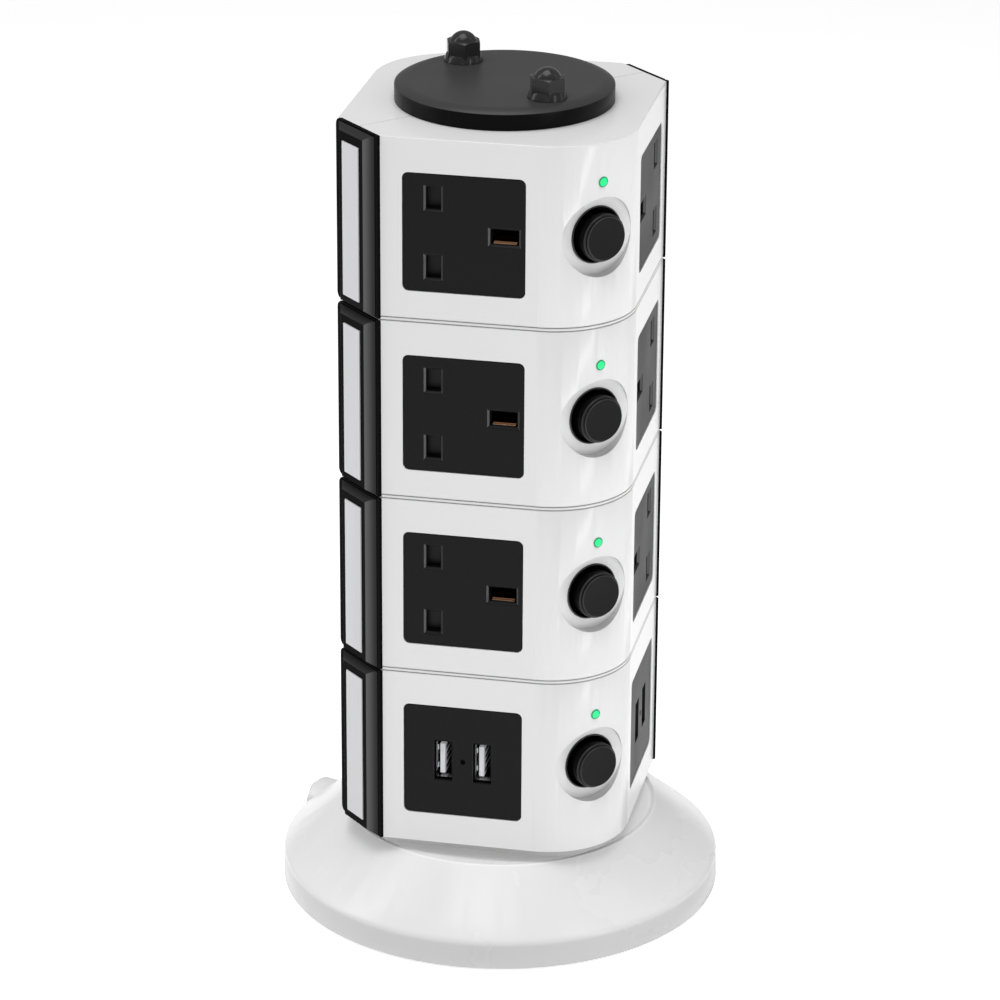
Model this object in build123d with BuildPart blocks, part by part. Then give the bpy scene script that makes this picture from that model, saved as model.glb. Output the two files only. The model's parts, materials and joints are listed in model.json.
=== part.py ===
from build123d import *

import os
from math import cos, hypot, radians, sin, sqrt, tan

# Four-tier vertical extension tower on a round swivel base. Millimetres, +Z up.
# The origin is the centre of the base on the surface that the tower stands on.
# The tower's plan is a square. Its faces look along -Y, +X, +Y and -X. The two corners on the
# (1, 1) diagonal are cut flat and carry the end covers, and the other two are rounded. The
# push buttons are on the rounded corner that looks along (1, -1).

# ---------------------------------------------------------------- driving dimensions
PIN_PITCH = 22.23          # earth line to live/neutral line, and live to neutral (BS 1363)
TIERS = 4
TIER_PITCH = 59.3
TOWER_BOTTOM = 31.2
TOWER_WIDTH = 92.4         # across the socket faces
FACET_WIDTH = 24.0         # flat on each cut corner
CORNER_RADIUS = 26.3
WALL = 2.4
ROOF = 2.4
GAP = 0.3                  # free space between pieces on different bodies
RUNNING = 0.05             # radial clearance of a running fit
THROUGH = 0.5              # how far a cut goes past the wall that it opens

HALF_WIDTH = TOWER_WIDTH / 2
CHAMFER = FACET_WIDTH / sqrt(2)
FACET_REACH = (TOWER_WIDTH - CHAMFER) / sqrt(2)
CORNER_REACH = (HALF_WIDTH - CORNER_RADIUS) * sqrt(2) + CORNER_RADIUS
TOWER_TOP = TOWER_BOTTOM + TIERS * TIER_PITCH
FACE_CENTRE = 29.2         # height of plate and button centres above the tier's bottom

# joints between tiers
BAND = 1.1                 # from each joint line up to the groove above it
SEAM_GAP = 0.3
SEAM_DEPTH = 0.6
CASING_EDGE = 0.4          # rounding of the casing's top edge
DIAGONAL = 45              # direction of the seam between the half-shells, in degrees

# socket plates
PLATE_WIDTH = 38.3
PLATE_HEIGHT = 38.0
PLATE_RADIUS = 2.0
PLATE_SHIFT = 3.15         # plate centre, away from the button corner
PLATE_SET = 0.25           # how far the plate lies below the casing's face
PLATE_BACK = 3.4           # depth of the plate's back below the casing's face
PLATE_FIT = 0.15
LIP = 1.8                  # plate lip behind the casing wall
EARTH_X = 9.46
LINE_X = EARTH_X - PIN_PITCH
LINE_SLOT = (4.6, 7.2)
EARTH_SLOT = (8.8, 4.8)
SLOT_CHAMFER = 0.75
WELL_WALL = 1.2
WELL_BACK = 10.0
EARTH_WELL = (EARTH_SLOT[0] + 2 * WELL_WALL, EARTH_SLOT[1] + 2 * WELL_WALL)

# shutters behind the live and neutral slots; they slide away from the earth slot
SHUTTER_FRONT = PLATE_BACK + GAP
SHUTTER_THICK = 1.2
SHUTTER_WIDTH = 5.8
SHUTTER_HEIGHT = 30.6
SHUTTER_ARM = (12.6, 5.0)

# contact carriers and contacts, as depths below the casing's face
CARRIER_FRONT = 5.8
CARRIER_BACK = 14.5
CARRIER_WIDTH = 32.5
CARRIER_HEIGHT = 33.0
CARRIER_X = -1.25
POST_RADIUS = 1.4
POST_X = (-6.5, 13.0)
POST_Y = (-14.5, 14.5)
CONTACT_SHEET = 0.5
CONTACT_GRIP = 3.4
CONTACT_FRONT = 6.6
CONTACT_BACK = 12.6
EARTH_LEAF = (0.3, 0.2)    # thickness of the long and of the short leaf on the slot's floor
EARTH_LEAF_WIDTH = 7.2
EARTH_LEAF_FRONT = (1.75, 2.75)
BUSBAR = (1.2, 7.0)
BUSBAR_PITCH = 6.0
BUSBAR_END = 6.0           # clear of the tower's floor and roof

# USB plates on the two front faces of the lowest tier
USB_PITCH = 12.7
USB_CUT = (6.0, 13.9)
USB_SHELL = (5.6, 13.3)
USB_SHELL_WALL = 0.4
USB_SHELL_SET = 1.2
USB_TONGUE = (1.8, 10.6)
USB_TONGUE_SHIFT = -0.5
USB_TONGUE_SET = 1.9
USB_BACK = 14.0
PILOT_RADIUS = 0.9
BOARD = (30.0, 26.0, 1.6)

# push buttons, distances from the tower axis along the (1, -1) corner
RECESS_FLAT = 51.1
RECESS_RADIUS = 12.75
RECESS_FLOOR = 2.2
BEZEL_RADIUS = 9.2
BEZEL_RISE = 0.5
BARREL_RADIUS = 8.5
BARREL_BACK = 45.5
CAP_RADIUS = 7.6
CAP_RISE = 5.1
CAP_EDGE = 0.8
BUTTON_TRAVEL = 3.0
STEM_RADIUS = 3.0
SWITCH_BACK = 31.0
SWITCH_BORE_BACK = 33.5
CAP_BACK = BARREL_BACK + BUTTON_TRAVEL + GAP
STEM_BACK = SWITCH_BORE_BACK + BUTTON_TRAVEL + GAP
SWITCH_SIZE = 15.0
LENS_RADIUS = 1.7
LENS_RISE = 17.7           # above the button's centre
LENS_PROUD = 0.3

# end covers on the two cut corners, as heights above the flat
COVER_GAP = 0.4            # at each end of a tier
COVER_FLANGE = 1.0
COVER_GROOVE = 0.35
COVER_CORNER = 2.3         # rounding of the flange's rear corners
COVER_FOOT = 20.6          # width of the raised block at the flange
COVER_CROWN = 13.6         # width of its flat top
COVER_RISE = 3.1
COVER_MARGIN = 0.8         # flange above the raised block
COVER_TOP_BEVEL = 1.7
COVER_TOP_LEAN = 30        # of the top bevel at its lower edge, in degrees from upright
COVER_BOTTOM_BEVEL = 1.3
INSERT_WIDTH = 9.4
INSERT_HEIGHT = 50.0
INSERT_TOP = 5.4           # below the tier's top
INSERT_POCKET = 0.6
INSERT_PROUD = 0.4

# tie rods, top plate and dome nuts
ROD_REACH = 23.7
ROD_RADIUS = 2.5
ROD_FREE = 0.2
SLEEVE_RADIUS = 4.5
WIRE_HOLE = 12.0
TOP_PLATE_RADIUS = 34.5
TOP_PLATE_EDGE = 5.2
TOP_PLATE_CROWN = 6.5
TOP_PLATE_FLAT = 30.2
TOP_PLATE_ROUND = 0.4
NUT_FLANGE_RADIUS = 6.3
NUT_FLANGE = 2.4
NUT_FLANGE_TAPER = 20.0
NUT_TURN = 46.5
NUT_ACROSS_FLATS = 10.1
NUT_HEX_TOP = 6.7
NUT_DOME_RADIUS = 4.2
NUT_HEIGHT = 9.5
LOCK_NUT = (8.0, 3.6)      # across flats and height

# swivel base
BASE_RADIUS = 72.1
RIM_TOP_RADIUS = 71.9
RIM_HEIGHT = 9.9
RIM_EDGE = 1.6
LIP_RADIUS = 51.2
LIP_HEIGHT = 27.2
LIP_WIDTH = 0.8
LIP_EDGE = 0.35
BASE_CLEAR = 0.8           # under the rim
BASE_WALL = 2.4
BOWL_RADIUS = 40.0         # flat floor, from which the bowl's side curves up to the lip
BOWL_FLOOR = 25.6
WELL_RADIUS = 31.0         # deeper middle of the bowl, in which the lock nuts turn
WELL_FLOOR = 22.5
HUB_RADIUS = 16.0
HUB_BORE = 10.0
HUB_SHOULDER = 18.3
HUB_BOTTOM = 4.0
COLLAR_RADIUS = 20.0
COLLAR_BOTTOM = 19.0
PLINTH_BOTTOM = 28.9
PLINTH_INSET = 1.7
SPIGOT = 3.0
SPOOL_RADIUS = 54.0
DRUM_RADIUS = 30.0
SPOOL_TOP = 18.4
SPOOL_FLANGE = 1.5
BOTTOM_PLATE_RADIUS = 69.2
BOTTOM_PLATE = (1.0, 3.2)  # underside and upper face
FOOT_RADIUS = 6.0
FOOT_REACH = 55.0
SCREW_REACH = 62.0
SCREW_RADIUS = 1.5
SCREW_HEAD = (3.0, 1.4)
SCREW_TOP = 11.0
SCREW_BOSS = 4.0
OUTLET_ANGLE = 158.5       # direction of the cord outlet about Z
HOOD_REACH = 75.0
HOOD_RADIUS = 8.2
HOOD_AXIS = 5.4
HOOD_EDGE = 2.5
HOOD_START = 66.0
BUSH_AXIS = 6.8
BUSH_RADIUS = 5.3
BUSH_BORE = 3.9
BUSH_START = 67.0

# Faces: turn about Z, and the side of the earth slot seen from outside (+1 is right).
FACES = {"front_left": (0, 1), "front_right": (90, -1), "back_right": (180, 1), "back_left": (270, -1)}
HALVES = {"front": ("front_left", "front_right"), "rear": ("back_right", "back_left")}

CORNER = Vector(1, -1, 0).normalized()
ACROSS = Vector(1, 1, 0).normalized()
SEAM_PLANE = Plane(origin=(0, 0, 0), z_dir=CORNER)

os.makedirs("parts", exist_ok=True)


# ---------------------------------------------------------------- frames and shared outlines
def tier_bottom(tier):
    """Height of the bottom of a tier, counted from 1 at the base."""
    return TOWER_BOTTOM + (tier - 1) * TIER_PITCH


def face_plane(face, height, depth=0.0):
    """Plane on a tower face, x to the right and y up as seen from outside, depth inside it."""
    turn = Location((0, 0, 0), (0, 0, FACES[face][0]))
    front = Plane(origin=(0, -HALF_WIDTH + depth, height), x_dir=(1, 0, 0), z_dir=(0, -1, 0))
    return Plane(turn * front.location)


def corner_plane(reach, height, sign=1):
    """Plane square to the (1, -1) diagonal, sign +1 at the button corner, -1 at the rear."""
    centre = CORNER * (reach * sign) + Vector(0, 0, height)
    return Plane(origin=centre, x_dir=ACROSS * sign, z_dir=CORNER * sign)


def facet_plane(sign, height, rise=0.0):
    """Plane on a cut corner, sign +1 towards (1, 1) and -1 towards (-1, -1)."""
    centre = ACROSS * ((FACET_REACH + rise) * sign) + Vector(0, 0, height)
    return Plane(origin=centre, x_dir=CORNER * -sign, z_dir=ACROSS * sign)


def socket_faces_of(tier):
    """Faces of a tier that carry a mains outlet."""
    return [face for face in FACES if tier > 1 or face in HALVES["rear"]]


def finish(builder, name):
    """Label a finished piece and write its STEP file."""
    builder.part.label = name
    export_step(builder.part, f"parts/{name}.step")


with BuildSketch() as tower_plan:
    Rectangle(TOWER_WIDTH, TOWER_WIDTH)
    cut = tower_plan.vertices().sort_by(Axis((0, 0, 0), (1, 1, 0)))
    chamfer([cut[0], cut[-1]], CHAMFER)
    rounded = tower_plan.vertices().sort_by(Axis((0, 0, 0), (1, -1, 0)))
    fillet([rounded[0], rounded[-1]], CORNER_RADIUS)


# ---------------------------------------------------------------- casing half-shells
def shell_cavity(tier, half):
    """Space inside a tier, less the seat of the button recess and the sleeve of the tie rod."""
    low = tier_bottom(tier)
    sign = 1 if half == "front" else -1
    with BuildPart() as cavity:
        with BuildSketch(Plane.XY.offset(low)):
            add(tower_plan.sketch)
            offset(amount=-WALL)
        extrude(amount=TIER_PITCH - ROOF)
        with BuildSketch(Plane.XY.offset(low)):
            with Locations(tuple(CORNER * (ROD_REACH * sign))[:2]):
                Circle(SLEEVE_RADIUS)
        extrude(amount=TIER_PITCH - ROOF, mode=Mode.SUBTRACT)
        if half == "front":
            with BuildSketch(corner_plane(RECESS_FLAT - RECESS_FLOOR, low + FACE_CENTRE)):
                Circle(RECESS_RADIUS + WALL / 2)
            extrude(amount=CORNER_RADIUS, mode=Mode.SUBTRACT)
    return cavity


def half_shell(tier, half):
    """Front or rear half of a tier's casing, with its roof."""
    low = tier_bottom(tier)
    high = low + TIER_PITCH
    sign = 1 if half == "front" else -1
    top_tier = tier == TIERS
    cavity = shell_cavity(tier, half)
    with BuildPart() as shell:
        with BuildSketch(Plane.XY.offset(low)):
            add(tower_plan.sketch)
        extrude(amount=TIER_PITCH)
        if top_tier:
            fillet(shell.faces().sort_by(Axis.Z)[-1].edges(), CASING_EDGE)
            with BuildSketch(Plane.XY.offset(high)):
                Rectangle(2 * TOWER_WIDTH, SEAM_GAP, rotation=DIAGONAL)
            extrude(amount=-SEAM_DEPTH, mode=Mode.SUBTRACT)
        add(cavity.part, mode=Mode.SUBTRACT)
        grooves = [] if tier == 1 else [low, low + BAND]
        if not top_tier:
            grooves.append(high)
        for groove in grooves:
            with BuildSketch(Plane.XY.offset(groove - SEAM_GAP / 2)):
                add(tower_plan.sketch)
                offset(tower_plan.sketch, amount=-SEAM_DEPTH, mode=Mode.SUBTRACT)
            extrude(amount=SEAM_GAP, mode=Mode.SUBTRACT)
        with BuildSketch(Plane.XY.offset(high)):
            with Locations(tuple(CORNER * (ROD_REACH * sign))[:2]):
                Circle(ROD_RADIUS + ROD_FREE)
            if not top_tier:
                Circle(WIRE_HOLE)
        extrude(amount=-TIER_PITCH, mode=Mode.SUBTRACT)
        for face in HALVES[half]:
            with BuildSketch(face_plane(face, low + FACE_CENTRE)):
                with Locations((-PLATE_SHIFT * FACES[face][1], 0)):
                    RectangleRounded(PLATE_WIDTH + 2 * PLATE_FIT, PLATE_HEIGHT + 2 * PLATE_FIT, PLATE_RADIUS)
            extrude(amount=-WALL - THROUGH, mode=Mode.SUBTRACT)
        if half == "front":
            with BuildSketch(corner_plane(RECESS_FLAT, low + FACE_CENTRE)):
                Circle(RECESS_RADIUS)
            extrude(amount=CORNER_RADIUS, mode=Mode.SUBTRACT)
            with BuildSketch(corner_plane(RECESS_FLAT, low + FACE_CENTRE)):
                Circle(BARREL_RADIUS)
            extrude(amount=-RECESS_FLOOR, mode=Mode.SUBTRACT)
            with BuildSketch(corner_plane(CORNER_REACH, low + FACE_CENTRE + LENS_RISE)):
                Circle(LENS_RADIUS)
            extrude(amount=-WALL - THROUGH, mode=Mode.SUBTRACT)
        split(bisect_by=SEAM_PLANE, keep=Keep.TOP if half == "front" else Keep.BOTTOM)
    return shell


for tier in range(1, TIERS + 1):
    for half in HALVES:
        finish(half_shell(tier, half), f"tier_{tier}_{half}_shell")


# ---------------------------------------------------------------- socket and USB plates
def plate_body(face, height):
    """Plate in the casing's window, with a lip behind the wall."""
    shift = -PLATE_SHIFT * FACES[face][1]
    with BuildPart() as body:
        with BuildSketch(face_plane(face, height, PLATE_SET)):
            with Locations((shift, 0)):
                RectangleRounded(PLATE_WIDTH, PLATE_HEIGHT, PLATE_RADIUS)
        extrude(amount=PLATE_SET - PLATE_BACK)
        with BuildSketch(face_plane(face, height, WALL)):
            with Locations((shift, 0)):
                RectangleRounded(PLATE_WIDTH + 2 * LIP, PLATE_HEIGHT + 2 * LIP, PLATE_RADIUS)
        extrude(amount=WALL - PLATE_BACK)
    return body


def slot_space(face, height, x, y, slot):
    """Space of a pin slot, with its sloped lead-in."""
    with BuildPart() as space:
        with BuildSketch(face_plane(face, height, PLATE_SET)):
            with Locations((x, y)):
                Rectangle(slot[0] + 2 * SLOT_CHAMFER, slot[1] + 2 * SLOT_CHAMFER)
        with BuildSketch(face_plane(face, height, PLATE_SET + SLOT_CHAMFER)):
            with Locations((x, y)):
                Rectangle(*slot)
        loft()
        with BuildSketch(face_plane(face, height, PLATE_SET)):
            with Locations((x, y)):
                Rectangle(*slot)
        extrude(amount=PLATE_SET - WELL_BACK)
    return space


def socket_plate(face, height):
    """Mains outlet: plate, guide well for the earth pin, and the three slots."""
    side = FACES[face][1]
    with BuildPart() as plate:
        add(plate_body(face, height).part)
        with BuildSketch(face_plane(face, height, PLATE_BACK)):
            with Locations((side * EARTH_X, 0)):
                Rectangle(*EARTH_WELL)
        extrude(amount=PLATE_BACK - WELL_BACK)
        for x, y, slot in (
            (EARTH_X, 0, EARTH_SLOT),
            (LINE_X, PIN_PITCH / 2, LINE_SLOT),
            (LINE_X, -PIN_PITCH / 2, LINE_SLOT),
        ):
            add(slot_space(face, height, side * x, y, slot).part, mode=Mode.SUBTRACT)
    return plate


def usb_plate(face, height):
    """Plate with two upright USB windows and a pilot-light hole between them."""
    shift = -PLATE_SHIFT * FACES[face][1]
    with BuildPart() as plate:
        add(plate_body(face, height).part)
        with BuildSketch(face_plane(face, height)):
            with Locations((shift - USB_PITCH / 2, 0), (shift + USB_PITCH / 2, 0)):
                Rectangle(*USB_CUT)
        extrude(amount=-PLATE_BACK, mode=Mode.SUBTRACT)
        with BuildSketch(face_plane(face, height)):
            with Locations((shift, 0)):
                Circle(PILOT_RADIUS)
        extrude(amount=-PLATE_BACK / 2, mode=Mode.SUBTRACT)
    return plate


for tier in range(1, TIERS + 1):
    height = tier_bottom(tier) + FACE_CENTRE
    plates = [
        socket_plate(face, height) if face in socket_faces_of(tier) else usb_plate(face, height)
        for face in FACES
    ]
    with BuildPart() as face_plates:
        for plate in plates:
            add(plate.part)
    finish(face_plates, f"tier_{tier}_face_plates")


# ---------------------------------------------------------------- shutters
def shutter(face, height):
    """Sliding plate behind the live and neutral slots, with the arm that the earth pin pushes."""
    side = FACES[face][1]
    arm_centre = LINE_X + SHUTTER_WIDTH / 2 + SHUTTER_ARM[0] / 2
    with BuildPart() as slider:
        with BuildSketch(face_plane(face, height, SHUTTER_FRONT)):
            with Locations((side * LINE_X, 0)):
                Rectangle(SHUTTER_WIDTH, SHUTTER_HEIGHT)
            with Locations((side * arm_centre, 0)):
                Rectangle(*SHUTTER_ARM)
        extrude(amount=-SHUTTER_THICK)
    return slider


for tier in range(1, TIERS + 1):
    for face in socket_faces_of(tier):
        finish(shutter(face, tier_bottom(tier) + FACE_CENTRE), f"shutter_{tier}_{face}")


# ---------------------------------------------------------------- contact carriers and contacts
def carrier(face, height):
    """Moulding that holds the contacts behind one outlet, on four posts."""
    side = FACES[face][1]
    posts = [(side * x, y) for x in POST_X for y in POST_Y]
    with BuildPart() as block:
        with BuildSketch(face_plane(face, height, CARRIER_FRONT)):
            with Locations((side * CARRIER_X, 0)):
                Rectangle(CARRIER_WIDTH, CARRIER_HEIGHT)
        extrude(amount=CARRIER_FRONT - CARRIER_BACK)
        with BuildSketch(face_plane(face, height, PLATE_BACK)):
            with Locations(*posts):
                Circle(POST_RADIUS)
        extrude(amount=PLATE_BACK - CARRIER_FRONT)
        with BuildSketch(face_plane(face, height, CARRIER_FRONT)):
            with Locations((side * LINE_X, PIN_PITCH / 2), (side * LINE_X, -PIN_PITCH / 2)):
                Rectangle(LINE_SLOT[0] + 2 * RUNNING, LINE_SLOT[1] + 2 * RUNNING)
        extrude(amount=CARRIER_FRONT - CONTACT_BACK, mode=Mode.SUBTRACT)
        with BuildSketch(face_plane(face, height, CARRIER_FRONT)):
            with Locations((side * EARTH_X, 0)):
                Rectangle(*EARTH_WELL)
        extrude(amount=CARRIER_FRONT - CONTACT_BACK, mode=Mode.SUBTRACT)
    return block


def line_contact(face, height, y):
    """Two spring leaves joined at the back, which grip a live or neutral pin."""
    side = FACES[face][1]
    outer = CONTACT_GRIP + 2 * CONTACT_SHEET
    with BuildPart() as contact:
        with BuildSketch(face_plane(face, height, CONTACT_FRONT)):
            with Locations((side * LINE_X, y)):
                Rectangle(outer, LINE_SLOT[1] - 2 * CONTACT_SHEET)
        extrude(amount=CONTACT_FRONT - CONTACT_BACK)
        with BuildSketch(face_plane(face, height, CONTACT_FRONT)):
            with Locations((side * LINE_X, y)):
                Rectangle(CONTACT_GRIP, LINE_SLOT[1])
        extrude(amount=CONTACT_FRONT - CONTACT_BACK + CONTACT_SHEET, mode=Mode.SUBTRACT)
    return contact


def earth_contact(face, height):
    """Leaves that grip the earth pin, and the lower leaf's tongue that reaches the slot's mouth."""
    side = FACES[face][1]
    width = EARTH_LEAF_WIDTH
    with BuildPart() as contact:
        with BuildSketch(face_plane(face, height, CONTACT_FRONT)):
            with Locations((side * EARTH_X, 0)):
                Rectangle(width, CONTACT_GRIP + 2 * CONTACT_SHEET)
                Rectangle(width, CONTACT_GRIP, mode=Mode.SUBTRACT)
        extrude(amount=CONTACT_FRONT - CONTACT_BACK)
        with BuildSketch(face_plane(face, height, CONTACT_BACK - CONTACT_SHEET)):
            with Locations((side * EARTH_X, 0)):
                Rectangle(width, CONTACT_GRIP + 2 * CONTACT_SHEET)
        extrude(amount=-CONTACT_SHEET)
        floor = -EARTH_SLOT[1] / 2
        for thickness, front in zip(EARTH_LEAF, EARTH_LEAF_FRONT):
            with BuildSketch(face_plane(face, height, front)):
                with Locations((side * EARTH_X, floor + thickness / 2)):
                    Rectangle(width, thickness)
            extrude(amount=front - CONTACT_FRONT - CONTACT_SHEET)
            floor += thickness
    return contact


outlets = [
    (face, tier_bottom(tier) + FACE_CENTRE) for tier in range(1, TIERS + 1) for face in socket_faces_of(tier)
]

with BuildPart() as contact_carriers:
    for face, height in outlets:
        add(carrier(face, height).part)
finish(contact_carriers, "contact_carriers")

# Seen with the earth slot at the right, live is the lower slot, and at the left, the upper one.
with BuildPart() as live_contacts:
    for face, height in outlets:
        add(line_contact(face, height, -FACES[face][1] * PIN_PITCH / 2).part)
finish(live_contacts, "live_contacts")

with BuildPart() as neutral_contacts:
    for face, height in outlets:
        add(line_contact(face, height, FACES[face][1] * PIN_PITCH / 2).part)
finish(neutral_contacts, "neutral_contacts")

with BuildPart() as earth_contacts:
    for face, height in outlets:
        add(earth_contact(face, height).part)
finish(earth_contacts, "earth_contacts")

# Three upright copper strips carry the supply up through the wire holes in the tier roofs.
busbar_low = TOWER_BOTTOM + BUSBAR_END
busbar_high = TOWER_TOP - ROOF - BUSBAR_END
for place, name in ((-1, "live_busbar"), (0, "earth_busbar"), (1, "neutral_busbar")):
    with BuildPart() as busbar:
        with BuildSketch(Plane.XY.offset(busbar_low)):
            with Locations((place * BUSBAR_PITCH, 0)):
                Rectangle(*BUSBAR)
        extrude(amount=busbar_high - busbar_low)
    finish(busbar, name)


# ---------------------------------------------------------------- USB sockets
usb_height = tier_bottom(1) + FACE_CENTRE
usb_places = [
    (face, -PLATE_SHIFT * FACES[face][1] + offset_x)
    for face in HALVES["front"]
    for offset_x in (-USB_PITCH / 2, USB_PITCH / 2)
]

with BuildPart() as usb_shells:
    for face, x in usb_places:
        with BuildSketch(face_plane(face, usb_height, USB_SHELL_SET)):
            with Locations((x, 0)):
                Rectangle(*USB_SHELL)
                inner = [size - 2 * USB_SHELL_WALL for size in USB_SHELL]
                Rectangle(*inner, mode=Mode.SUBTRACT)
        extrude(amount=USB_SHELL_SET - USB_BACK)
finish(usb_shells, "usb_shells")

with BuildPart() as usb_tongues:
    for face, x in usb_places:
        with BuildSketch(face_plane(face, usb_height, USB_TONGUE_SET)):
            with Locations((x + USB_TONGUE_SHIFT, 0)):
                Rectangle(*USB_TONGUE)
        extrude(amount=USB_TONGUE_SET - USB_BACK)
finish(usb_tongues, "usb_tongues")

with BuildPart() as usb_boards:
    for face in HALVES["front"]:
        with BuildSketch(face_plane(face, usb_height, USB_BACK)):
            with Locations((-PLATE_SHIFT * FACES[face][1], 0)):
                Rectangle(BOARD[0], BOARD[1])
        extrude(amount=-BOARD[2])
finish(usb_boards, "usb_boards")


# ---------------------------------------------------------------- push buttons and switches
def button(tier):
    """Round cap with a stem that slides in the switch behind it."""
    height = tier_bottom(tier) + FACE_CENTRE
    face_reach = RECESS_FLAT + BEZEL_RISE + CAP_RISE
    with BuildPart() as push:
        with BuildSketch(corner_plane(CAP_BACK, height)):
            Circle(CAP_RADIUS)
        extrude(amount=face_reach - CAP_BACK)
        fillet(push.faces().sort_by(Axis((0, 0, 0), CORNER))[-1].edges(), CAP_EDGE)
        with BuildSketch(corner_plane(STEM_BACK, height)):
            Circle(STEM_RADIUS)
        extrude(amount=CAP_BACK - STEM_BACK)
    return push


for tier in range(1, TIERS + 1):
    finish(button(tier), f"button_{tier}")

button_heights = [tier_bottom(tier) + FACE_CENTRE for tier in range(1, TIERS + 1)]

with BuildPart() as button_bezels:
    for height in button_heights:
        with BuildSketch(corner_plane(BARREL_BACK, height)):
            Circle(BARREL_RADIUS)
        extrude(amount=RECESS_FLAT - BARREL_BACK)
        with BuildSketch(corner_plane(RECESS_FLAT, height)):
            Circle(BEZEL_RADIUS)
        extrude(amount=BEZEL_RISE)
    rims = button_bezels.faces().filter_by(Plane(origin=(0, 0, 0), z_dir=CORNER)).group_by(
        Axis((0, 0, 0), CORNER)
    )[-1]
    fillet(rims.edges(), BEZEL_RISE / 2)
    for height in button_heights:
        with BuildSketch(corner_plane(BARREL_BACK, height)):
            Circle(CAP_RADIUS + GAP)
        extrude(amount=RECESS_FLAT + BEZEL_RISE - BARREL_BACK, mode=Mode.SUBTRACT)
finish(button_bezels, "button_bezels")

with BuildPart() as switch_bodies:
    for height in button_heights:
        with BuildSketch(corner_plane(SWITCH_BACK, height)):
            RectangleRounded(SWITCH_SIZE, SWITCH_SIZE, CAP_EDGE)
        extrude(amount=BARREL_BACK - SWITCH_BACK)
        with BuildSketch(corner_plane(SWITCH_BORE_BACK, height)):
            Circle(STEM_RADIUS + RUNNING)
        extrude(amount=BARREL_BACK - SWITCH_BORE_BACK, mode=Mode.SUBTRACT)
finish(switch_bodies, "switch_bodies")

with BuildPart() as indicator_lenses:
    for height in button_heights:
        with BuildSketch(corner_plane(CORNER_REACH - WALL - THROUGH, height + LENS_RISE)):
            Circle(LENS_RADIUS)
        extrude(amount=WALL + THROUGH + LENS_PROUD)
    domes = indicator_lenses.faces().filter_by(Plane(origin=(0, 0, 0), z_dir=CORNER)).group_by(
        Axis((0, 0, 0), CORNER)
    )[-1]
    fillet(domes.edges(), LENS_PROUD)
finish(indicator_lenses, "indicator_lenses")


# ---------------------------------------------------------------- end covers
def cover_block(sign, low, high):
    """Raised block of an end cover: sloped sides and bottom, and a top that curves over."""
    with BuildPart() as block:
        with BuildSketch(facet_plane(sign, 0)):
            with Locations((0, (low + high) / 2)):
                Rectangle(COVER_FOOT, high - low)
        extrude(amount=COVER_RISE)
        shoulder = (COVER_FOOT - COVER_CROWN) / 2
        rise = COVER_RISE - COVER_FLANGE
        for flank in (-1, 1):
            with BuildSketch(Plane.XY.offset(low)):
                with BuildLine():
                    foot = ACROSS * (sign * (FACET_REACH + COVER_FLANGE)) + CORNER * (flank * COVER_FOOT / 2)
                    crown = foot + ACROSS * (sign * rise) - CORNER * (flank * shoulder)
                    corner = foot + ACROSS * (sign * rise)
                    Polyline(foot, crown, corner, close=True)
                make_face()
            extrude(amount=high - low, mode=Mode.SUBTRACT)
        side = Plane(origin=CORNER * (COVER_FOOT / 2), x_dir=ACROSS * sign, z_dir=CORNER)
        up = side.y_dir.Z
        with BuildSketch(side):
            flange, crest = FACET_REACH + COVER_FLANGE, FACET_REACH + COVER_RISE
            with BuildLine():
                lean = radians(COVER_TOP_LEAN)
                start = (-sin(lean), up * cos(lean))
                TangentArc((crest, up * (high - COVER_TOP_BEVEL)), (flange, up * high), tangent=start)
                Polyline((flange, up * high), (crest, up * high), (crest, up * (high - COVER_TOP_BEVEL)))
            make_face()
            with BuildLine():
                Polyline(
                    (flange, up * low),
                    (crest, up * low),
                    (crest, up * (low + COVER_BOTTOM_BEVEL)),
                    close=True,
                )
            make_face()
        extrude(amount=-COVER_FOOT, mode=Mode.SUBTRACT)
    return block


def end_cover(sign, tier):
    """Black cover on a cut corner, with a groove round its raised block and a pocket in it."""
    low = tier_bottom(tier) + (COVER_GAP if tier > 1 else 0)
    high = tier_bottom(tier) + TIER_PITCH - (COVER_GAP if tier < TIERS else 0)
    block = cover_block(sign, low, high - COVER_MARGIN)
    insert_centre = tier_bottom(tier) + TIER_PITCH - INSERT_TOP - INSERT_HEIGHT / 2
    with BuildPart() as cover:
        with BuildSketch(facet_plane(sign, (low + high) / 2)):
            Rectangle(FACET_WIDTH, high - low)
        extrude(amount=COVER_FLANGE)
        corners = cover.edges().filter_by(Axis((0, 0, 0), ACROSS)).sort_by(Axis((0, 0, 0), CORNER))
        fillet(corners[:2], COVER_CORNER)
        with BuildSketch(facet_plane(sign, (low + high) / 2, COVER_FLANGE)):
            with Locations((-COVER_FOOT / 2, 0), (COVER_FOOT / 2, 0)):
                Rectangle(2 * COVER_GROOVE, high - low)
            with Locations((0, (high - low) / 2 - COVER_MARGIN)):
                Rectangle(COVER_FOOT, 2 * COVER_GROOVE)
        extrude(amount=-COVER_GROOVE, mode=Mode.SUBTRACT)
        add(block.part)
        with BuildSketch(facet_plane(sign, insert_centre, COVER_RISE)):
            Rectangle(INSERT_WIDTH, INSERT_HEIGHT)
        extrude(amount=-INSERT_POCKET, mode=Mode.SUBTRACT)
    return cover


for tier in range(1, TIERS + 1):
    with BuildPart() as end_covers:
        for sign in (-1, 1):
            add(end_cover(sign, tier).part)
    finish(end_covers, f"tier_{tier}_end_covers")

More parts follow.
